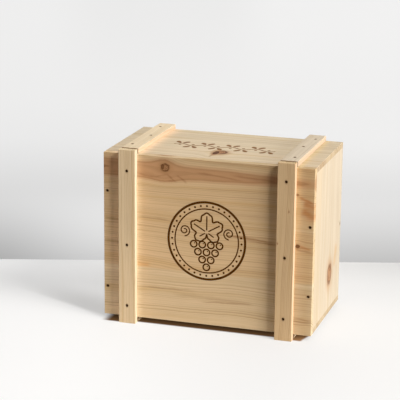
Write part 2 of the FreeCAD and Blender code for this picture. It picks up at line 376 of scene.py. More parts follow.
@dataclass
class Knot:
    """A branch seen end on: its place along and across the grain, its half sizes, how dark it is, its tilt
    in degrees and how far it bends the grain. A dead one is darker inside."""
    along: float
    across: float
    half_along: float
    half_across: float
    dark: float = 1.0
    tilt: float = 0.0
    bend: float = 0.75
    dead: bool = False

    def fields(self, tree, along, across, seed):
        """Its distance in half sizes, and how far it draws the grain round itself."""
        off_along, off_across = along - self.along, across - self.across
        cosine, sine = math.cos(math.radians(self.tilt)), math.sin(math.radians(self.tilt))
        unit_along = (off_along * cosine + off_across * sine) / self.half_along
        unit_across = (off_across * cosine - off_along * sine) / self.half_across
        ragged = noise(tree, unit_along * KNOT_RAG_SCALE, unit_across * KNOT_RAG_SCALE, seed, detail=3.0)
        distance = (unit_along * unit_along + unit_across * unit_across).root() + ragged * KNOT_RAG
        push = -(off_across * (distance / KNOT_REACH).bell() * self.bend)
        return distance, push

    def painted(self, tree, colour, distance):
        """Its reddish halo, its own rings and its dark rim, over the wood's colour."""
        halo = (1.0 - distance.rise(*KNOT_HALO_SPAN)) * (KNOT_HALO_SHARE * self.dark)
        colour = blend(tree, halo, colour, rgba(KNOT_HALO))
        rings = ((distance * KNOT_RINGS).sine() + 1.0) / 2
        pale, deep = (KNOT_DARK, KNOT_RIM) if self.dead else (KNOT_PALE, KNOT_DARK)
        heart = blend(tree, rings * KNOT_RINGS_SHARE, rgba(pale), rgba(deep))
        inside = (1.0 - distance.rise(*KNOT_EDGE_SPAN)) * (KNOT_HEART_SHARE * self.dark)
        colour = blend(tree, inside, colour, heart)
        rim = ((distance - KNOT_RIM_PLACE) / KNOT_RIM_HALF).bell() * (KNOT_RIM_SHARE * self.dark)
        return blend(tree, rim, colour, rgba(KNOT_RIM))


@dataclass
class Streak:
    """A line of darker or paler wood. The same kind of line also carries the bands of painted light and
    shade beside the battens. Its two ends, as places along and across the grain, its half width, its
    strength and the tint that it gives the wood."""
    start: tuple
    stop: tuple
    half: float
    strength: float
    tint: tuple = STREAK_COLOUR

    def painted(self, tree, colour, along, across, seed):
        span = Vector(self.stop) - Vector(self.start)
        unit = span.normalized()
        off_along, off_across = along - self.start[0], across - self.start[1]
        way = (off_along * unit.x + off_across * unit.y) / span.length
        ragged = noise(tree, along / STREAK_RAG_LENGTH, across / STREAK_RAG_WIDTH, seed)
        side = off_across * unit.x - off_along * unit.y + ragged * (STREAK_RAG + self.half)
        ends = way.rise(*STREAK_START_SHARES) * (1.0 - way.rise(*STREAK_STOP_SHARES))
        mark = (side / self.half).bell() * ends * self.strength
        return blend(tree, mark, colour, rgba(self.tint), "MULTIPLY")


# Nails: where their heads are, so that the wood round them is stained

NAILS = "_nails"
WELD = 0.01
STAIN_NEAR, STAIN_FAR, STAIN_STRETCH = 1.6, 3.4, 0.7
STAIN_COLOUR, STAIN_SHARE = (0.42, 0.30, 0.22), 0.6


def islands(shape):
    """The separate solids of a mesh, each as a list of its points."""
    seen = set()
    found = []
    for start in shape.verts:
        if start.index in seen:
            continue
        seen.add(start.index)
        island = [start]
        for vert in island:
            for edge in vert.link_edges:
                other = edge.other_vert(vert)
                if other.index not in seen:
                    seen.add(other.index)
                    island.append(other)
        found.append(island)
    return found


def head_of(nail):
    """The end of a nail that is further from the case's middle."""
    middle = (cad_low + cad_high) / 2
    low = Vector([min(vert.co[k] for vert in nail) for k in range(3)])
    high = Vector([max(vert.co[k] for vert in nail) for k in range(3)])
    run = max(range(3), key=lambda k: high[k] - low[k])
    place = (low + high) / 2
    place[run] = max((low[run], high[run]), key=lambda value: abs(value - middle[run]))
    return place / MM


def nail_heads():
    heads = []
    for node in sorted(nodes):
        if node.endswith(NAILS):
            shape = bmesh.new()
            shape.from_mesh(nodes[node].data)
            bmesh.ops.remove_doubles(shape, verts=shape.verts, dist=WELD * MM)
            shape.verts.index_update()
            heads += [head_of(nail) for nail in islands(shape)]
            shape.free()
    return heads


NAIL_HEADS = nail_heads()


def nails_in(node):
    """The nail heads that lie in a piece's faces."""
    low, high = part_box(node)
    return [
        head for head in NAIL_HEADS
        if all(a / MM - STAIN_NEAR < part < b / MM + STAIN_NEAR for a, part, b in zip(low, head, high))]


def stained(tree, colour, place, grain, heads, seed):
    """Wood that is darker round nail heads, and a little further along the grain."""
    for head in heads:
        offsets = [wire - part for wire, part in zip(place, head)]
        offsets[grain] = offsets[grain] * STAIN_STRETCH
        distance = sum(offset * offset for offset in offsets).root()
        ragged = noise(tree, place[0] / STAIN_NEAR, place[1] / STAIN_NEAR, place[2] / STAIN_NEAR + seed)
        mark = 1.0 - (distance + ragged * STAIN_NEAR).rise(STAIN_NEAR, STAIN_FAR)
        colour = blend(tree, mark * STAIN_SHARE, colour, rgba(STAIN_COLOUR), "MULTIPLY")
    return colour


# The wood of one piece

PLAIN = (1.0, 1.0, 1.0)
END_GRAIN = (0.78, 0.72, 0.66)
FACING = (0.55, 0.85)
WOOD_SHINE, WOOD_RELIEF = 0.04, 0.8
# The painted shade on a batten's front end in the slot behind the lid batten: its tint, the width where
# the slot is open to the light, and where along the batten it stops
SLOT_PAINTED_SHADE, SLOT_OPEN, SLOT_END = (0.50, 0.40, 0.30), 5.0, (0.0, 1.0)

# Colours in linear light: early wood, late wood, and the same two in the red heartwood
PALETTES = {
    "lid": ((0.64, 0.452, 0.258), (0.44, 0.272, 0.135), (0.50, 0.285, 0.145), (0.31, 0.15, 0.066)),
    "wall": ((0.63, 0.530, 0.382), (0.48, 0.357, 0.222), (0.53, 0.34, 0.19), (0.38, 0.215, 0.10)),
    # The end boards' colours are darker than the lid's, partly as painted shade that offsets the strong
    # light on the end.
    "end": ((0.495, 0.424, 0.327), (0.426, 0.338, 0.230), (0.426, 0.321, 0.203), (0.339, 0.222, 0.122)),
    "batten": ((0.58, 0.425, 0.262), (0.45, 0.30, 0.165), (0.51, 0.335, 0.185), (0.38, 0.225, 0.105)),
    "cradle": ((0.62, 0.47, 0.295), (0.50, 0.345, 0.19), (0.52, 0.345, 0.19), (0.40, 0.245, 0.115)),
}


@dataclass
class Board:
    """How one piece is cut from its log: the axes along, across and through the grain, the heart's place
    from the piece's middle, and the marks on it. The slot is the place across where a batten's front end
    is open to the light; the rest of that end gets a painted shade."""
    axes: str
    palette: str
    heart: tuple = (0.0, 40.0)
    slope: float = 0.0
    taper: float = 0.012
    ring: float = 3.6
    red: float = 0.0
    contrast: float = 1.0
    sawn: float = 0.0
    fade: float = 0.0
    sway: float = 1.0
    tint: tuple = PLAIN
    end_tint: tuple = END_GRAIN
    edge_tint: tuple = PLAIN
    knots: tuple = ()
    streaks: tuple = ()
    slot: float = None

    def order(self):
        """Which of x, y and z run along, across and through the grain."""
        return ["XYZ".index(letter) for letter in self.axes]


def middle_of(node):
    low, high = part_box(node)
    return (low + high) / 2 / MM


def pine(tree, node, board, surface):
    """The pine nodes, set for one board in the order of PINE_NUMBERS and PINE_COLOURS. The surface is the
    first numbers, up to the seed."""
    group = add(tree, "ShaderNodeGroup", node_tree=PINE)
    _, across, through = (middle_of(node)[axis] for axis in board.order())
    numbers = (
        *surface, across + board.heart[0], through + board.heart[1], board.slope, board.taper, board.ring,
        board.red, board.contrast, board.sawn, board.fade, board.sway)
    palette = [
        [part * share for part, share in zip(colour, board.tint)] for colour in PALETTES[board.palette]]
    colours = [rgba(colour) for colour in (*palette, board.edge_tint, board.end_tint)]
    feed_all(tree, group, *numbers, *colours)
    return group.outputs


def wood(node, board, seed):
    """The pine of one piece, as a material."""
    material, tree, shader = new_material(node + "_wood")
    axes = board.order()
    place = place_of(tree)
    facing = parts_of(tree, "Normal")
    along, across, through = (place[axis] for axis in axes)
    end, edge = (facing[axis].size().rise(*FACING) for axis in axes[:2])
    bend = 0.0
    distances = []
    for knot in board.knots:
        distance, push = knot.fields(tree, along, across, seed)
        distances.append(distance)
        bend = push + bend
    made = pine(tree, node, board, (along, across, through, end, edge, bend, seed))

    colour = made["Colour"]
    for streak in board.streaks:
        colour = streak.painted(tree, colour, along, across, seed)
    for knot, distance in zip(board.knots, distances):
        colour = knot.painted(tree, colour, distance)
    # Painted shade on the front end grain in the slot, except near the slot's open side
    if board.slot is not None:
        closed = 1.0 - across.rise(board.slot - SLOT_OPEN, board.slot)
        painted_slot_shade = end * (1.0 - along.rise(*SLOT_END)) * closed
        colour = blend(tree, painted_slot_shade, colour, rgba(SLOT_PAINTED_SHADE), "MULTIPLY")
    colour = stained(tree, colour, place, axes[0], nails_in(node), seed)
    finished(tree, shader, colour, made["Roughness"], made["Height"], WOOD_SHINE, WOOD_RELIEF)
    return material


# Every board, batten and cradle

# The fades along the grain of the lid, the walls and the end boards are painted light and shade.
LID = {
    "axes": "XZY", "palette": "lid", "end_tint": (1.12, 1.23, 1.36), "edge_tint": (1.06, 1.16, 1.26),
    "fade": 0.0008}
WALL = {"axes": "XYZ", "palette": "wall", "end_tint": (0.80, 0.76, 0.71), "fade": 0.0003}
UPPER_FRONT = {**WALL, "end_tint": (0.715, 0.66, 0.62)}
LOWER_WALL = {**WALL, "end_tint": (0.73, 0.70, 0.67)}
END = {"axes": "ZYX", "palette": "end", "contrast": 0.8, "fade": -0.0003}
BACK = {"axes": "XZY", "palette": "wall"}
LID_BATTEN = {"axes": "ZXY", "palette": "batten", "ring": 2.4, "end_tint": (1.12, 1.18, 1.22)}
WALL_BATTEN = {"axes": "YXZ", "palette": "batten", "ring": 2.4}
CRADLE = {"axes": "ZYX", "palette": "cradle", "ring": 3.0, "sawn": 1.0}

left_batten, right_batten = (
    [corner.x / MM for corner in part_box(node)] for node in ("lid_left_batten", "lid_right_batten"))
LEFT_OF_BATTEN, RIGHT_OF_BATTEN, LID_EDGE = 6.0, 3.0, 10.0
LID_REACH, LID_TOP_REACH, WALL_REACH = (-160.0, 450.0), (140.0, 340.0), (-300.0, 300.0)


def painted_light_band(x, reach, half, strength, tint):
    """A band of painted light straight across the boards, or of painted shade where its tint is below 1.
    It fades in and out over the ends of its reach.
    """
    return Streak((x, reach[0]), (x, reach[1]), half, strength, tint)


# Painted light and shade on the lid and the upper wall: bands that are paler beside the battens and darker
# near the lid's right edge
LID_PAINTED_LIGHT = (
    painted_light_band(left_batten[0] - LEFT_OF_BATTEN, LID_REACH, 11.0, 1.0, tint=(1.33, 1.34, 1.46)),
    painted_light_band(left_batten[1], LID_REACH, 6.5, 1.0, tint=(1.20, 1.32, 1.46)),
    painted_light_band(right_batten[1] + RIGHT_OF_BATTEN, LID_TOP_REACH, 5.0, 1.0, tint=(1.13, 1.15, 1.10)),
    painted_light_band(cad_high.x / MM - LID_EDGE, LID_REACH, 10.0, 0.8, tint=(0.92, 0.87, 0.79)),
)
UPPER_PAINTED_LIGHT = (
    painted_light_band(right_batten[1] + RIGHT_OF_BATTEN, WALL_REACH, 6.0, 0.9, tint=(1.06, 1.03, 0.86)),
    painted_light_band(left_batten[1], WALL_REACH, 12.0, 1.0, tint=(1.25, 1.19, 1.19)),
)

# The boards that the photograph shows
# Several tints and edge tints on the battens are painted light and shade: they make a batten or its sides
# paler or darker as light falls on them. The lower battens' sides, in the shade under the lid, get the
# most painted light.
BOARDS = {
    "lid_upper_board": Board(
        **LID, heart=(21.75, 8.0), slope=-0.006, taper=0.018, ring=2.7, red=18.5, contrast=0.9, sway=0.25,
        knots=(
            Knot(-70.5, 265.5, 7.0, 6.2, dark=1.05, bend=0.9),
            Knot(-74.6, 266.6, 2.6, 3.8, dark=0.8, dead=True, bend=0.0),
            Knot(147.5, 239.5, 2.0, 1.6, dark=0.8),
        ),
        streaks=(
            *LID_PAINTED_LIGHT,
            Streak((-135, 279.5), (85, 278), 6.5, 1.0, tint=(0.86, 0.87, 0.89)),
            Streak((-88, 247.5), (-66, 256), 1.2, 0.35),
            Streak((-68, 256), (-53, 244), 1.5, 0.5),
            Streak((-51, 255), (-33, 242.5), 1.5, 0.45),
            Streak((-66, 244.5), (-50, 244), 1.6, 0.4),
            Streak((-118, 252), (-84, 248), 1.4, 0.5),
            Streak((-20, 262), (60, 254), 1.5, 0.45),
            Streak((40, 262), (114, 257), 2.0, 0.5),
            Streak((150, 236), (176, 226), 2.4, 0.9, STREAK_RED),
            Streak((157, 227), (178, 219), 4.5, 0.9, STREAK_RED),
            Streak((155, 216), (180, 201), 7.0, 0.9, STREAK_RED),
            Streak((5, 197), (130, 197), 5.0, 0.7, tint=(0.93, 0.90, 0.89)),
        )),
    "lid_middle_board": Board(
        **LID, heart=(-95.0, 45.0), ring=3.0, contrast=0.75,
        knots=(Knot(149.8, 156.0, 3.4, 2.8, dead=True),),
        streaks=(
            *LID_PAINTED_LIGHT,
            Streak((30, 163), (117, 157), 1.5, 0.9),
            Streak((60, 158), (117, 154), 1.3, 0.6),
            Streak((-118, 181), (-60, 179), 1.2, 0.5),
            Streak((152, 156), (172, 152), 2.2, 0.8, STREAK_RED),
            Streak((146, 151), (175, 147), 1.6, 0.6),
            Streak((138, 184), (186, 184), 7.0, 0.9, tint=(1.06, 1.14, 1.26)),
            Streak((-175, 174), (-140, 172), 1.8, 0.6),
            Streak((-175, 136), (-140, 133), 3.0, 0.5),
            Streak((10, 186), (130, 184), 5.0, 0.8, tint=(1.05, 1.08, 1.11)),
            Streak((-124, 100), (-95, 101), 4.0, 0.8, STREAK_AMBER),
        )),
    "lid_lower_board": Board(
        **LID, heart=(75.0, 60.0), ring=2.7, contrast=0.8, tint=(0.97, 1.03, 1.10),
        streaks=(
            *LID_PAINTED_LIGHT,
            Streak((140, 90), (185, 91), 4.5, 0.9, tint=(1.12, 1.20, 1.28)),
            Streak((-60, 56), (80, 52), 3.5, 0.35),
            Streak((-10, 47), (80, 51), 1.3, 0.6),
            Streak((-180, 90), (-138, 91), 5.5, 0.9, tint=(1.14, 1.17, 1.24)),
            Streak((-110, 62), (-20, 65), 1.2, 0.5),
            Streak((145, 37), (175, 33), 1.3, 0.5),
            Streak((145, 31), (175, 29), 1.1, 0.5),
        )),
    "upper_wall_front_board": Board(
        **UPPER_FRONT, heart=(-60.0, -30.0), ring=3.9, contrast=0.9, tint=(1.06, 1.05, 1.05),
        knots=(
            Knot(6.0, -34.0, 8.5, 11.0, dark=1.15, tilt=8.0),
            Knot(-2.0, -40.0, 4.0, 10.0, dark=1.7, dead=True),
        ),
        streaks=(*UPPER_PAINTED_LIGHT, Streak((-2, -46), (-5, -70), 1.6, 1.0))),
    "upper_wall_middle_board": Board(
        **WALL, heart=(80.0, -40.0), ring=4.4, contrast=0.8, tint=(1.02, 1.02, 1.02),
        streaks=UPPER_PAINTED_LIGHT),
    "upper_wall_rear_board": Board(
        **WALL, heart=(-50.0, -35.0), ring=3.4, contrast=0.8, tint=(0.98, 0.98, 0.98),
        streaks=UPPER_PAINTED_LIGHT),
    "right_end_front_board": Board(**END, heart=(-50.0, -35.0), ring=4.4, tint=(1.0, 0.965, 0.90)),
    "right_end_middle_board": Board(
        **END, heart=(75.0, -30.0), ring=4.8,
        knots=(
            Knot(76.5, 28.0, 16.5, 13.5, dark=0.85, tilt=-12.0),
            Knot(87.0, 34.0, 6.0, 7.0, dark=0.45, dead=True, bend=0.0),
            Knot(68.0, 22.5, 8.0, 6.0, dark=0.3, dead=True, bend=0.0),
        )),
    "right_end_rear_board": Board(
        **END, heart=(-60.0, -35.0), ring=4.0,
        streaks=(Streak((78, 61), (118, 74), 9.0, 0.9, STREAK_AMBER),)),
    "lid_left_batten": Board(
        **LID_BATTEN, heart=(-70.0, 20.0), tint=(1.28, 1.36, 1.43), edge_tint=(0.95, 0.99, 1.11)),
    "lid_right_batten": Board(
        **LID_BATTEN, heart=(60.0, 30.0), tint=(0.95, 0.92, 0.86), edge_tint=(1.25, 1.24, 1.45),
        knots=(Knot(160.7, 119.8, 1.6, 0.9, dark=0.8), Knot(214.0, 137.2, 1.8, 1.0, dark=0.6))),
    "upper_left_batten": Board(
        **WALL_BATTEN, heart=(-60.0, -25.0), tint=(1.32, 1.50, 1.72), edge_tint=(0.81, 0.705, 0.685),
        slot=left_batten[1]),
    "upper_right_batten": Board(
        **WALL_BATTEN, heart=(70.0, -30.0), tint=(1.00, 1.17, 1.46), edge_tint=(0.95, 0.84, 0.79),
        slot=right_batten[1]),
    "lower_left_batten": Board(**WALL_BATTEN, heart=(-55.0, -25.0), edge_tint=(1.50, 1.60, 1.70)),
    "lower_right_batten": Board(**WALL_BATTEN, heart=(65.0, -20.0), edge_tint=(1.30, 1.36, 1.42)),
}

# How the other pieces are cut, by a part of their names, and the ranges that chance picks from
FAMILIES = {"_cradle": CRADLE, "lower_wall_": LOWER_WALL, "_end_": END, "back_": BACK}
CHANCE_SEED, GRAIN_SEED_STEP, GRAIN_SEED_START = 23, 3.7, 1.3
HEARTS_ACROSS, HEARTS_THROUGH = (30.0, 90.0), (15.0, 45.0)
SLOPES, TONES, REDS = (-0.02, 0.02), (0.95, 1.05), (0.0, 0.0, 32.0, 45.0)
KNOTTY, KNOTTY_SHARE = (LOWER_WALL, END, BACK), 0.6
KNOT_PLACE_SHARES, KNOT_HALVES, KNOT_FLATS = (0.2, 0.8), (4.0, 9.0), (0.7, 0.95)
KNOT_DARKS, KNOT_TILTS = (0.7, 1.0), (-20.0, 20.0)


def usual_board(node, chance):
    """A board that the photograph doesn't show, cut from somewhere in a log."""
    family = next(settings for part, settings in FAMILIES.items() if part in node)
    heart = [chance.choice((-1, 1)) * chance.uniform(*reach) for reach in (HEARTS_ACROSS, HEARTS_THROUGH)]
    made = Board(**family, heart=heart, slope=chance.uniform(*SLOPES), tint=[chance.uniform(*TONES)] * 3)
    made.red = chance.choice(REDS)
    if family in KNOTTY and chance.random() < KNOTTY_SHARE:
        low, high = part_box(node)
        place = [(a + (b - a) * chance.uniform(*KNOT_PLACE_SHARES)) / MM for a, b in zip(low, high)]
        along, across, _ = (place[axis] for axis in made.order())
        half = chance.uniform(*KNOT_HALVES)
        made.knots = (Knot(
            along, across, half, half * chance.uniform(*KNOT_FLATS), dark=chance.uniform(*KNOT_DARKS),
            tilt=chance.uniform(*KNOT_TILTS)),)
    return made


def dress(node, material):
    slots = nodes[node].data.materials
    slots.clear()
    slots.append(material)


def dress_wood():
    chance = random.Random(CHANCE_SEED)
    for index, node in enumerate(sorted(nodes)):
        if not node.endswith(NAILS):
            board = BOARDS.get(node) or usual_board(node, chance)
            dress(node, wood(node, board, GRAIN_SEED_STEP * index + GRAIN_SEED_START))


# The nails' dull, rusty steel

RUST_SIZE, RUST_RISE = 0.8, (-0.05, 0.2)
STEEL_COLOUR, RUST_COLOUR = (0.030, 0.013, 0.004), (0.075, 0.033, 0.010)
STEEL_ROUGH, RUST_ROUGH, RUST_HEIGHT = 0.55, 0.25, 0.06
NAIL_SHINE, NAIL_RELIEF = 0.03, 0.6


def nail_material():
    material, tree, shader = new_material("nail_steel")
    rust = noise(tree, *(wire / RUST_SIZE for wire in place_of(tree)), detail=4.0).rise(*RUST_RISE)
    colour = blend(tree, rust, rgba(STEEL_COLOUR), rgba(RUST_COLOUR))
    roughness = rust * RUST_ROUGH + STEEL_ROUGH
    finished(tree, shader, colour, roughness, rust * RUST_HEIGHT, NAIL_SHINE, NAIL_RELIEF)
    return material


def dress_nails():
    material = nail_material()
    for node in nodes:
        if node.endswith(NAILS):
            dress(node, material)


# Burnt ornaments, as thin solids that lie in the wood's face

BURN_PROUD, BURN_DEEP = 0.06, 0.2
BURN_GRAIN_LENGTH, BURN_GRAIN_WIDTH, BURN_CLOUD_SIZE = 40.0, 1.1, 9.0
BURN_VARY, BURN_MEAN, BURN_ROUGH, BURN_ROUGH_GRAIN, BURN_HEIGHT = 0.9, 0.4, 0.72, 0.2, 0.08
BURN_SHINE, BURN_RELIEF = 0.03, 0.5
BURNT_BROWN = ((0.055, 0.018, 0.002), (0.13, 0.050, 0.010))
BURNT_RED = ((0.17, 0.078, 0.030), (0.33, 0.175, 0.080))


def ring_points(centre, radius, count):
    turns = [2 * math.pi * k / count for k in range(count)]
    return [(centre[0] + radius * math.cos(turn), centre[1] + radius * math.sin(turn)) for turn in turns]


def edges_of(points, width, closed):
    """The two sides of a line of the given width through the points."""
    count = len(points)
    sides = ([], [])
    for k, point in enumerate(points):
        before = points[k - 1] if closed or k else point
        after = points[(k + 1) % count] if closed or k + 1 < count else point
        run = Vector((after[0] - before[0], after[1] - before[1])).normalized()
        for side, sign in zip(sides, (1, -1)):
            side.append((point[0] - sign * run.y * width / 2, point[1] + sign * run.x * width / 2))
    return sides


class Burn:
    """Thin solids drawn on a face. The place function turns two lengths on the face and a height above it
    into a point."""

    def __init__(self, place):
        self.place = place
        self.points = []
        self.faces = []

    def layer(self, outline, height):
        first = len(self.points)
        self.points += [self.place(u, v, height) for u, v in outline]
        return list(range(first, first + len(outline)))

    def line(self, points, width, closed=False):
        left, right = edges_of(points, width, closed)
        rows = [self.layer(side, height) for height in (BURN_PROUD, -BURN_DEEP) for side in (left, right)]
        top_left, top_right, low_left, low_right = rows
        around = (top_left, low_left, low_right, top_right)
        count = len(points)
        for k in range(count if closed else count - 1):
            n = (k + 1) % count
            for one, other in zip(around, around[1:] + around[:1]):
                self.faces.append((other[k], one[k], one[n], other[n]))
        if not closed:
            for k, order in ((0, 1), (count - 1, -1)):
                self.faces.append([row[k] for row in around][::order])

    def patch(self, outline):
        top = self.layer(outline, BURN_PROUD)
        low = self.layer(outline, -BURN_DEEP)
        count = len(outline)
        self.faces.append(tuple(reversed(top)))
        self.faces.append(tuple(low))
        for k in range(count):
            n = (k + 1) % count
            self.faces.append((top[k], top[n], low[n], low[k]))

    def made(self, name, body, material):
        points = [Vector(point) * MM for point in self.points]
        piece = mesh_object(name, points, self.faces, material)
        shaped = bmesh.new()
        shaped.from_mesh(piece.data)
        bmesh.ops.recalc_face_normals(shaped, faces=shaped.faces)
        shaped.to_mesh(piece.data)
        shaped.free()
        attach(piece, body)


def burnt_material(name, dark, pale):
    """Scorched wood: darker and paler along the grain."""
    material, tree, shader = new_material(name)
    x, y, z = place_of(tree)
    grain = noise(tree, x / BURN_GRAIN_LENGTH, y / BURN_GRAIN_WIDTH, z / BURN_GRAIN_WIDTH, detail=3.0)
    cloud = noise(tree, x / BURN_CLOUD_SIZE, y / BURN_CLOUD_SIZE, z / BURN_CLOUD_SIZE)
    tone = (grain * BURN_VARY + cloud * BURN_VARY + BURN_MEAN).clamped()
    colour = blend(tree, tone, rgba(dark), rgba(pale))
    roughness = grain * BURN_ROUGH_GRAIN + BURN_ROUGH
    finished(tree, shader, colour, roughness, grain * BURN_HEIGHT, BURN_SHINE, BURN_RELIEF)
    return material


# The roundel on the lid: two rings with beads between them, a bunch of grapes, its leaf and two tendrils.
# Places are from the roundel's middle, and angles are in degrees.

ROUNDEL_PLACE, MIDDLE = (0.0, 150.0), (0.0, 0.0)
ROUNDEL_RADIUS, ROUNDEL_LINE, RING_SIDES = 66.0, 3.8, 128
INNER_RADIUS, INNER_LINE = 54.2, 2.2
BEAD_CIRCLE, BEAD_RADIUS, BEADS, BEAD_SIDES = 58.2, 1.8, 36, 12
GRAPE_RADIUS, GRAPE_LINE, GRAPE_SIDES = 6.7, 2.6, 32
GRAPE_ROWS, GRAPE_PITCH, GRAPE_TOP, GRAPE_ROW_ANGLE = (4, 3, 2, 1), 14.4, -6.5, 60
GLINT_OFF_SHARE, GLINT_SHARE, GLINT_SIDES = 1 / 4, 1 / 6, 10
LEAF_BASE, LEAF_SIZE, LEAF_LINE, LEAF_SIDES = (0.0, 14.5), 32.0, 2.7, 120
VEIN_LINE, VEIN_START_SHARE, VEIN_STEPS = 2.1, 0.10, 8
TENDRIL_PLACE, TENDRIL_SIZE, TENDRIL_LINE = (37.0, 15.0), 9.5, 2.1
TENDRIL_START, TENDRIL_STEP, TENDRIL_STEPS, TENDRIL_STEPS_TO_NOTHING = -90, 9.5, 60, 75

# Degrees from the leaf's tip, and how far its edge, or the end of a vein, lies from its base, as a share
# of its size
LEAF_SHARES = (
    (0, 1.0), (14, 0.90), (31, 0.62), (46, 0.84), (60, 0.94), (74, 0.84), (96, 0.55), (112, 0.68),
    (126, 0.71), (142, 0.62), (166, 0.34), (180, 0.10))
VEIN_SHARES = ((0, 0.84), (60, 0.78), (-60, 0.78), (122, 0.44), (-122, 0.44))


def leaf_reach(angle):
    """How far the leaf's edge lies from its base, as a share of its size, at an angle from its tip."""
    turn = abs(math.degrees(angle))
    for (low, near), (high, far) in zip(LEAF_SHARES, LEAF_SHARES[1:]):
        if low <= turn <= high:
            share = (1 - math.cos(math.pi * (turn - low) / (high - low))) / 2
            return near + (far - near) * share
    return LEAF_SHARES[-1][1]


def grape(burn, centre):
    """A berry's outline, with a glint."""
    burn.line(ring_points(centre, GRAPE_RADIUS - GRAPE_LINE / 2, GRAPE_SIDES), GRAPE_LINE, closed=True)
    off = GRAPE_RADIUS * GLINT_OFF_SHARE
    burn.patch(ring_points((centre[0] + off, centre[1] + off), GRAPE_RADIUS * GLINT_SHARE, GLINT_SIDES))


def leaf_point(angle, reach):
    """The place at a distance from the leaf's base, at an angle from its tip."""
    return (LEAF_BASE[0] + reach * math.sin(angle), LEAF_BASE[1] + reach * math.cos(angle))


def leaf(burn):
    """A lobed leaf's outline and its veins."""
    angles = [2 * math.pi * k / LEAF_SIDES - math.pi for k in range(LEAF_SIDES)]
    outline = [leaf_point(angle, LEAF_SIZE * leaf_reach(angle)) for angle in angles]
    burn.line(outline, LEAF_LINE, closed=True)
    for turn, share in VEIN_SHARES:
        run = share - VEIN_START_SHARE
        reaches = [LEAF_SIZE * (VEIN_START_SHARE + run * k / VEIN_STEPS) for k in range(VEIN_STEPS + 1)]
        burn.line([leaf_point(math.radians(turn), reach) for reach in reaches], VEIN_LINE)


def tendril(burn, side):
    """A curl that winds inwards."""
    curl = []
    for k in range(TENDRIL_STEPS + 1):
        turn = math.radians(TENDRIL_START + TENDRIL_STEP * k)
        size = TENDRIL_SIZE * (1 - k / TENDRIL_STEPS_TO_NOTHING)
        across = side * (TENDRIL_PLACE[0] - size * math.cos(turn))
        curl.append((across, TENDRIL_PLACE[1] + size * math.sin(turn)))
    burn.line(curl, TENDRIL_LINE)


def roundel(burn):
    for radius, width in ((ROUNDEL_RADIUS, ROUNDEL_LINE), (INNER_RADIUS, INNER_LINE)):
        burn.line(ring_points(MIDDLE, radius - width / 2, RING_SIDES), width, closed=True)
    for bead in ring_points(MIDDLE, BEAD_CIRCLE, BEADS):
        burn.patch(ring_points(bead, BEAD_RADIUS, BEAD_SIDES))
    drop = GRAPE_PITCH * math.sin(math.radians(GRAPE_ROW_ANGLE))
    for row, count in enumerate(GRAPE_ROWS):
        for k in range(count):
            grape(burn, (GRAPE_PITCH * (k - (count - 1) / 2), GRAPE_TOP - row * drop))
    leaf(burn)
    for side in (-1, 1):
        tendril(burn, side)


# The vine in the middle of the upper wall: a waving stem with two leaves and a berry at each crest

VINE_LENGTH, VINE_RISE, VINE_LINE, VINE_WAVES, WAVE_STEPS = 172.0, 6.0, 2.4, 4, 24
VINE_LEAF, VINE_LEAF_WIDTH, VINE_LEAF_LEAN, VINE_LEAF_SIDES = 14.0, 6.5, 38, 24
VINE_LEAF_OFF_SHARE, VINE_LEAF_WIDTH_SHARES = 1.4, (1.1, 0.3)
VINE_BERRY, VINE_BERRY_OFF_SHARE, VINE_BERRY_SIDES = 2.6, 3.1, 16


def vine_stem(share):
    """The place at that share of the way along the stem."""
    return (VINE_LENGTH * (share - 0.5), VINE_RISE * math.sin(2 * math.pi * VINE_WAVES * share))


def vine_leaf(crest, angle):
    """A pointed leaf's outline, that way from a crest of the stem."""
    way = Vector((math.cos(angle), math.sin(angle)))
    beside = Vector((-way.y, way.x))
    start = Vector(crest) + way * (VINE_LINE * VINE_LEAF_OFF_SHARE)
    mean, taper = VINE_LEAF_WIDTH_SHARES
    outline = []
    for n in range(VINE_LEAF_SIDES):
        turn = 2 * math.pi * n / VINE_LEAF_SIDES
        length = VINE_LEAF * (1 - math.cos(turn)) / 2
        width = VINE_LEAF_WIDTH / 2 * math.sin(turn) * (mean - taper * math.cos(turn))
        outline.append(tuple(start + way * length + beside * width))
    return outline


def vine(burn):
    count = WAVE_STEPS * VINE_WAVES
    burn.line([vine_stem(k / count) for k in range(count + 1)], VINE_LINE)
    crests = 2 * VINE_WAVES
    for k in range(crests):
        crest = vine_stem((k + 0.5) / crests)
        up = 1 if k % 2 == 0 else -1
        for lean in (-1, 1):
            burn.patch(vine_leaf(crest, math.radians(90 * up - VINE_LEAF_LEAN * lean * up)))
        berry = (crest[0], crest[1] - up * VINE_BERRY_OFF_SHARE * VINE_BERRY)
        burn.patch(ring_points(berry, VINE_BERRY, VINE_BERRY_SIDES))


def make_ornaments():
    lid_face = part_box("lid_middle_board")[0].y / MM
    on_lid = Burn(lambda u, v, height: (ROUNDEL_PLACE[0] + u, lid_face - height, ROUNDEL_PLACE[1] + v))
    roundel(on_lid)
    on_lid.made("lid_roundel", "lid", burnt_material("burnt_brown", *BURNT_BROWN))
    wall_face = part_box("upper_wall_middle_board")[1].z / MM
    on_wall = Burn(lambda u, v, height: (u, v, wall_face + height))
    vine(on_wall)
    on_wall.made("wall_vine", "case", burnt_material("burnt_red", *BURNT_RED))


# Camera, at the photograph's viewpoint

CAMERA_PLACE = Vector((0.73653, -2.49375, 0.89846))
CAMERA_YAW, CAMERA_PITCH, CAMERA_ROLL = -0.30206, 0.26454, -0.00916
FOCAL_PIXELS, IMAGE_PIXELS, SENSOR = 1637.23, 400, 36.0

# Level ways on the floor: away from the camera, and to its right
heading = Vector((math.sin(CAMERA_YAW), math.cos(CAMERA_YAW), 0.0))
sideways = Vector((math.cos(CAMERA_YAW), -math.sin(CAMERA_YAW), 0.0))


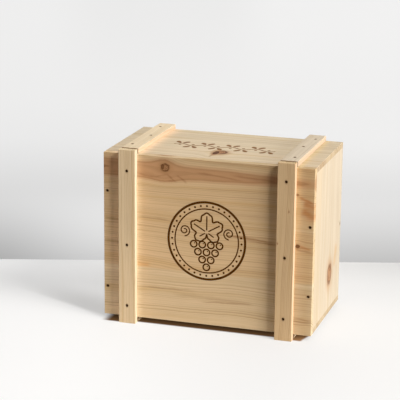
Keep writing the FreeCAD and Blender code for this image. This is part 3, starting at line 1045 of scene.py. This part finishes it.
def camera_axes():
    forward = heading * math.cos(CAMERA_PITCH) - Vector((0.0, 0.0, math.sin(CAMERA_PITCH)))
    below = forward.cross(sideways)
    right = sideways * math.cos(CAMERA_ROLL) + below * math.sin(CAMERA_ROLL)
    down = below * math.cos(CAMERA_ROLL) - sideways * math.sin(CAMERA_ROLL)
    return right, -down, -forward


def make_camera():
    data = bpy.data.cameras.new("camera")
    data.sensor_width = SENSOR
    data.lens = FOCAL_PIXELS * SENSOR / IMAGE_PIXELS
    camera = put_in_scene("camera", data)
    turned = Matrix(camera_axes()).transposed().to_4x4()
    camera.matrix_world = Matrix.Translation(CAMERA_PLACE) @ turned
    bpy.context.scene.camera = camera


# Stage: a white table that meets a pale wall behind the case

UP = Vector((0.0, 0.0, 1.0))
WHITE = (1.0, 1.0, 1.0)
WALL_DISTANCE, FLOOR_REACH, WALL_RISE = 2.887, 4.0, 1.6
LOOKING_RAYS = ("Is Camera Ray", "Is Glossy Ray", "Is Transmission Ray")
BOUNCE_REACH, BOUNCE_LOSS = (0.25, 0.50), 0.85
wall_foot = Vector((CAMERA_PLACE.x, CAMERA_PLACE.y, 0.0)) + heading * WALL_DISTANCE

# The painted shadow on the floor under the boards: where it starts in front and beside the battens, and
# how it brightens
UNDER_FRONT, UNDER_SOFT, UNDER_DEEP, UNDER_BESIDE, UNDER_BRIGHT = 0.002, 0.006, 0.030, 0.009, 0.045
PAINTED_SHADOW_BROWN, UNDER_LIT, UNDER_LIT_FROM = (0.175, 0.090, 0.038), 2.6, 0.10
UNDER_RIGHT_LOSS, UNDER_DEPTH_LOSS = 0.5, 0.75

# The shadow at the left: which way it runs from the left batten's foot, and where it comes and goes
SHADE_WAY, SHADE_LOSS = (-0.905, 0.426), 0.24
SHADE_STARTS, SHADE_STOPS, SHADE_ENDS = (0.0, 0.014), (0.03, 0.10), (0.10, 0.30)

# How much light each surface returns, and the share of it that is seen by the glow. The glow is pairs of a
# distance from the wall's foot and a level. Each tilt is pairs of a distance to the right and a change of
# level, and pairs of a distance from the foot and a weight.
# The glow's levels and tilts are painted light and shade on the stage: both surfaces are darker towards
# the wall's foot, and lighter or darker to the sides.
TABLE_ALBEDO, TABLE_GLOW_SHARE = 0.80, 0.56
TABLE_GLOW = ((0.0, 0.90), (0.38, 1.04))
TABLE_TILTS = (
    (((-0.24, 0.12), (0.14, -0.07), (0.40, -0.105)), ((0.0, 1.0), (0.1, 1.0))),
    (((-0.20, 0.20), (0.20, -0.12)), ((0.0, 1.0), (0.14, 0.0))),
)
WALL_ALBEDO, WALL_GLOW_SHARE = 0.75, 0.92
WALL_GLOW = ((-0.06, 0.42), (0.12, 0.74), (0.24, 0.85), (0.45, 0.865))
WALL_TILTS = (
    (((-0.42, -0.15), (-0.17, 0.285), (0.33, 0.0)), ((0.0, 1.0), (0.17, 0.0))),
    (((-0.30, 0.0), (-0.15, -0.045), (0.02, -0.045), (0.15, 0.0)), ((0.25, 0.0), (0.50, 1.0))),
)


def under_case(x, y, z):
    """How far a place on the floor is under the boards, from 0 to 1, where the floor has a painted shadow,
    and how bright that painted shadow is there.
    """
    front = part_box("lid_lower_board")[0].y - UNDER_FRONT
    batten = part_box("lid_right_batten")[1].x
    beside = x.size().rise(batten - UNDER_SOFT, batten) - x.rise(0.0, batten) * UNDER_RIGHT_LOSS
    first = front - beside.clamped() * UNDER_BESIDE
    inside = (1.0 - z.size().rise(0.0, UNDER_SOFT)) * y.rise(first, first + UNDER_SOFT)
    inside = inside * (1.0 - y.rise(cad_high.y - UNDER_SOFT, cad_high.y))
    inside = inside * x.rise(cad_low.x - UNDER_SOFT, cad_low.x + 2 * UNDER_SOFT)
    depth = y.rise(front, front + UNDER_DEEP)
    behind = y.rise(front + UNDER_DEEP, front + UNDER_DEEP + 2 * UNDER_SOFT)
    last = cad_high.x - UNDER_SOFT - (1.0 - depth) * UNDER_SOFT - behind * UNDER_BRIGHT
    inside = inside * (1.0 - x.rise(last - UNDER_SOFT, last))
    lit = x.rise(UNDER_LIT_FROM, cad_high.x) * UNDER_LIT + 1.0
    return inside, lit * (1.0 - depth * UNDER_DEPTH_LOSS)


def case_shade(x, y):
    """How deep the shadow at the case's left is, from 0 to 1. It is deepest just inside its front edge."""
    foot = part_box("lid_left_batten")[0]
    east, north = x - foot.x, y - foot.y
    along = east * SHADE_WAY[0] + north * SHADE_WAY[1]
    behind = east * SHADE_WAY[1] - north * SHADE_WAY[0]
    across = behind.rise(*SHADE_STARTS) * (1.0 - behind.rise(*SHADE_STOPS))
    return across * along.rise(*SHADE_STARTS) * (1.0 - along.rise(*SHADE_ENDS))


def ramp(wire, pairs):
    """A level that goes smoothly through pairs of a place and a level."""
    level = pairs[0][1]
    for (low, below), (high, above) in zip(pairs, pairs[1:]):
        level = wire.rise(low, high) * (above - below) + level
    return level


def glow_level(x, y, z, way, glow, tilts):
    """How brightly a stage surface glows at a place. The glow's distances are measured that way."""
    distance = x * way.x + y * way.y + z * way.z - way.dot(wall_foot)
    beside = x * sideways.x + y * sideways.y - sideways.dot(wall_foot)
    level = ramp(distance, glow) * (1.0 - case_shade(x, y) * SHADE_LOSS)
    for sides, weights in tilts:
        level = level * (ramp(beside, sides) * ramp(distance, weights) + 1.0)
    return level


def mixed(tree, factor, first, second):
    """A shader between two."""
    node = add(tree, "ShaderNodeMixShader")
    feed_all(tree, node, factor, first.outputs[0], second.outputs[0])
    return node


def stage_material(name, way, albedo, share, glow, tilts):
    """A matt surface that is seen partly by a glow, and is clear from behind. It has a painted shadow
    under the case, and far from the case it sends little light back to it."""
    material, tree, shader = new_material(name)
    tree.nodes.remove(shader)
    x, y, z = parts_of(tree, "Object")
    path = add(tree, "ShaderNodeLightPath")
    looking = sum(Wire(tree, path.outputs[kind]) for kind in LOOKING_RAYS)
    under, lit = under_case(x, y, z)
    far = (x * x + y * y).root().rise(*BOUNCE_REACH)
    bright = (1.0 - far * (1.0 - looking) * BOUNCE_LOSS) * albedo
    matt = add(tree, "ShaderNodeBsdfDiffuse")
    # Under the case the floor's colour and its glow are the painted shadow's brown
    colour = blend(tree, under, rgba(WHITE), rgba(PAINTED_SHADOW_BROWN))
    feed(tree, matt.inputs["Color"], scaled(tree, colour, bright))
    shine = add(tree, "ShaderNodeEmission")
    feed(tree, shine.inputs["Color"], blend(tree, under, rgba(WHITE), scaled(tree, PAINTED_SHADOW_BROWN, lit)))
    feed(tree, shine.inputs["Strength"], glow_level(x, y, z, way, glow, tilts))
    front = mixed(tree, looking * share, matt, shine)
    geometry = add(tree, "ShaderNodeNewGeometry")
    clear = add(tree, "ShaderNodeBsdfTransparent")
    surface = mixed(tree, geometry.outputs["Backfacing"], front, clear)
    tree.links.new(surface.outputs[0], tree.nodes["Material Output"].inputs["Surface"])
    return material


def sheet(name, corners, material):
    made = mesh_object(name, corners, [(0, 1, 2, 3)], material)


def make_stage():
    table = stage_material(
        "table_white", -heading, TABLE_ALBEDO, TABLE_GLOW_SHARE, TABLE_GLOW, TABLE_TILTS)
    corners = ((-1, -1), (1, -1), (1, 1), (-1, 1))
    sheet("table", [wall_foot + (sideways * u + heading * v) * FLOOR_REACH for u, v in corners], table)
    wall = stage_material("wall_white", UP, WALL_ALBEDO, WALL_GLOW_SHARE, WALL_GLOW, WALL_TILTS)
    rise = UP * WALL_RISE
    left, right = wall_foot - sideways * FLOOR_REACH, wall_foot + sideways * FLOOR_REACH
    sheet("wall", [left, right, right + rise, left + rise], wall)


# Light: three soft lamps at the right, one above, a small warm one low at the left, one behind that lights
# only the case, and a dim room

AIM = Vector((0.0, 0.0, 0.145))
LAMP_COLOUR, CARD_COLOUR = (1.0, 0.97, 0.93), (1.0, 0.88, 0.74)
ROOM_COLOUR, ROOM_LIGHT = (0.97, 0.98, 1.0), 0.01
STAGE_NAMES = ("table", "wall")

# Each lamp's direction from the case, distance, width, height, power and colour
LAMPS = {
    "key": ((0.618, -0.343, 0.707), 3.0, 0.8, 0.9, 63.0, LAMP_COLOUR),
    "side": ((0.960, -0.222, 0.174), 3.0, 0.8, 0.9, 70.0, LAMP_COLOUR),
    "low": ((0.861, -0.477, 0.174), 3.0, 0.8, 0.9, 30.0, LAMP_COLOUR),
    "above": ((0.05, 0.20, 1.0), 1.6, 1.3, 1.3, 8.2, LAMP_COLOUR),
    "card": ((-0.62, -0.78, -0.05), 1.2, 0.5, 0.2, 2.1, CARD_COLOUR),
    "rear": ((-0.74, 0.62, 0.22), 3.0, 0.9, 0.9, 32.0, LAMP_COLOUR),
}


def make_lamp(name, direction, distance, width, height, power, colour):
    data = bpy.data.lights.new(name, "AREA")
    data.shape = "RECTANGLE"
    data.size = width
    data.size_y = height
    data.energy = power
    data.color = colour
    lamp = put_in_scene(name, data)
    lamp.location = AIM + Vector(direction).normalized() * distance
    lamp.rotation_mode = "QUATERNION"
    lamp.rotation_quaternion = (AIM - lamp.location).to_track_quat("-Z", "Y")
    lamp.visible_camera = False
    return lamp


def light_only_case(lamp):
    case_only = bpy.data.collections.new("case_only")
    for piece in bpy.context.scene.objects:
        if piece.type == "MESH" and piece.name not in STAGE_NAMES:
            case_only.objects.link(piece)
    lamp.light_linking.receiver_collection = case_only
    lamp.light_linking.blocker_collection = case_only


def make_light():
    lamps = {name: make_lamp(name, *settings) for name, settings in LAMPS.items()}
    light_only_case(lamps["rear"])
    world = bpy.data.worlds.new("room")
    bpy.context.scene.world = world
    world.use_nodes = True
    background = world.node_tree.nodes["Background"]
    feed_named(world.node_tree, background, {"Color": rgba(ROOM_COLOUR), "Strength": ROOM_LIGHT})


dress_wood()
dress_nails()
make_ornaments()
make_camera()
make_stage()
make_light()
bpy.context.scene.view_settings.view_transform = "Standard"
